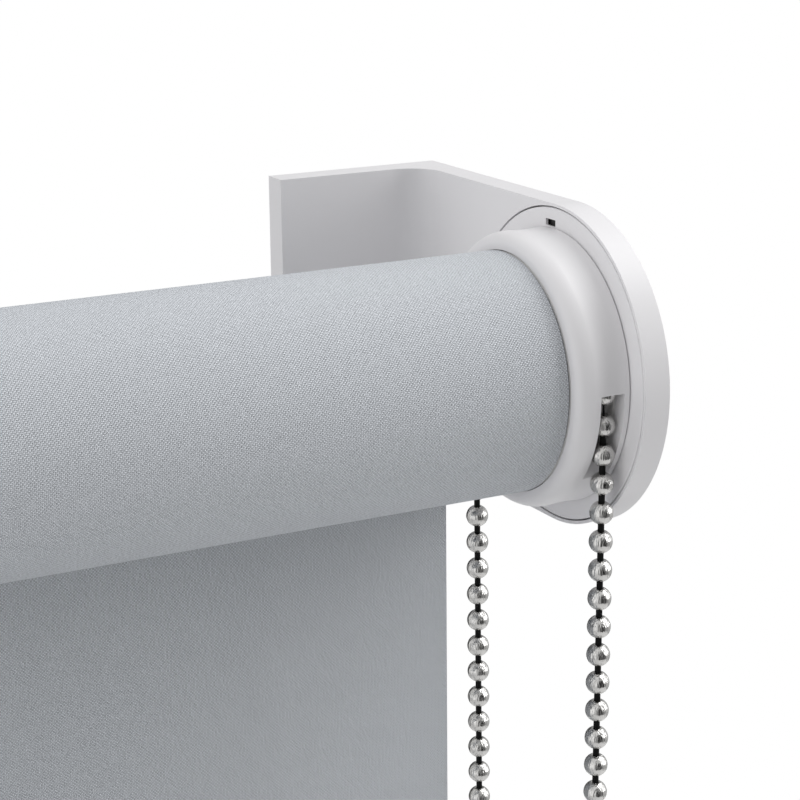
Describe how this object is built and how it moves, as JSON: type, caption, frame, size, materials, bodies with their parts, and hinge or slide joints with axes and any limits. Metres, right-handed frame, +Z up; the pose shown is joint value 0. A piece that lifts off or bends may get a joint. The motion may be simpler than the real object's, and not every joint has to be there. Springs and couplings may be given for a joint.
{
  "type": "roller blind",
  "caption": "Chain-operated roller blind: a cloth roll on a tube between two L-shaped wall brackets, with a hem bar and a ball chain loop at one end.",
  "frame": {"origin": "middle of the chain-end bracket's back face, level with the roller's axis", "axes": "+X along the roller to the chain end, +Y into the wall, +Z up"},
  "size_m": [0.6004, 0.0944, 0.8615],
  "materials": {
    "white_plastic": "moulded white plastic with a soft satin surface",
    "grey_plastic": "moulded grey plastic",
    "black_plastic": "moulded black plastic",
    "cloth": "light grey plain-weave screen cloth",
    "aluminium": "extruded, satin anodised",
    "chain_steel": "polished steel balls on a black cord",
    "screw_steel": "bright zinc plated"
  },
  "bodies": {
    "wall_fixed": {"bracket_control": "white_plastic", "bracket_idle": "white_plastic", "outer_cover_control": "white_plastic", "outer_cover_idle": "white_plastic", "clutch_base_disc": "white_plastic", "chain_guard": "white_plastic", "idle_base_disc": "white_plastic", "idle_guard_ring": "white_plastic", "wall_screw_control_1": "screw_steel", "wall_screw_control_2": "screw_steel", "wall_screw_idle_1": "screw_steel", "wall_screw_idle_2": "screw_steel", "clutch_spindle": "screw_steel", "spindle_washer": "screw_steel", "retaining_screw": "screw_steel", "idle_bush": "grey_plastic", "fabric_drop": "cloth", "chain_in_guard": "chain_steel", "chain_loop": "chain_steel", "chain_front": "chain_steel", "chain_back": "chain_steel"},
    "chain_wheel": {"chain_wheel": "white_plastic", "wrap_spring_1": "screw_steel", "wrap_spring_2": "screw_steel"},
    "roller": {"clutch_drum": "black_plastic", "roller_tube": "aluminium", "tube_spline": "white_plastic", "fabric_roll": "cloth", "idle_plug": "black_plastic", "idle_spring": "screw_steel"},
    "idle_pin": {"idle_pin": "screw_steel"},
    "hem": {"hem_bar": "aluminium", "hem_spline": "white_plastic", "hem_cap_left": "white_plastic", "hem_cap_right": "white_plastic"},
    "chain_connector": {"chain_connector": "white_plastic"},
    "stop_ball": {"stop_ball": "white_plastic"},
    "release_catch_control": {"release_catch_control": "black_plastic"},
    "release_catch_idle": {"release_catch_idle": "black_plastic"}
  },
  "joints": [
    {"name": "roller_spin", "type": "hinge", "parent": "wall_fixed", "child": "roller", "pos_m": [-0.27713, -0.0612, 0], "axis": [1, 0, 0], "range_deg": [0, 1592.31]},
    {"name": "wheel_spin", "type": "hinge", "parent": "wall_fixed", "child": "chain_wheel", "pos_m": [0.01064, -0.0612, 0], "axis": [1, 0, 0], "range_deg": [0, 1592.81]},
    {"name": "bar_lift", "type": "slide", "parent": "wall_fixed", "child": "hem", "axis": [0, 0, 1], "range_m": [0, 0.6838], "deforming": ["fabric_drop"]},
    {"name": "connector_run", "type": "slide", "parent": "wall_fixed", "child": "chain_connector", "axis": [0, 0.0136, -0.9999], "range_m": [0, 0.6902]},
    {"name": "stop_run", "type": "slide", "parent": "wall_fixed", "child": "stop_ball", "axis": [0, 0.0136, 0.9999], "range_m": [0, 0.6902]},
    {"name": "idle_pin_press", "type": "slide", "parent": "roller", "child": "idle_pin", "axis": [1, 0, 0], "range_m": [0, 0.006], "stiffness_N_per_m": 600, "springref_m": -0.002, "deforming": ["idle_spring"]},
    {"name": "catch_press_control", "type": "slide", "parent": "wall_fixed", "child": "release_catch_control", "axis": [0, 0, -1], "range_m": [0, 0.0016], "stiffness_N_per_m": 300, "springref_m": -0.001},
    {"name": "catch_press_idle", "type": "slide", "parent": "wall_fixed", "child": "release_catch_idle", "axis": [0, 0, -1], "range_m": [0, 0.0016], "stiffness_N_per_m": 300, "springref_m": -0.001}
  ],
  "couplings": [
    {"joint": "wheel_spin", "follows": "roller_spin", "ratio": 1},
    {"joint": "bar_lift", "follows": "roller_spin", "m_per_rad": 0.0246},
    {"joint": "connector_run", "follows": "roller_spin", "m_per_rad": 0.02483},
    {"joint": "stop_run", "follows": "roller_spin", "m_per_rad": 0.02483}
  ]
}
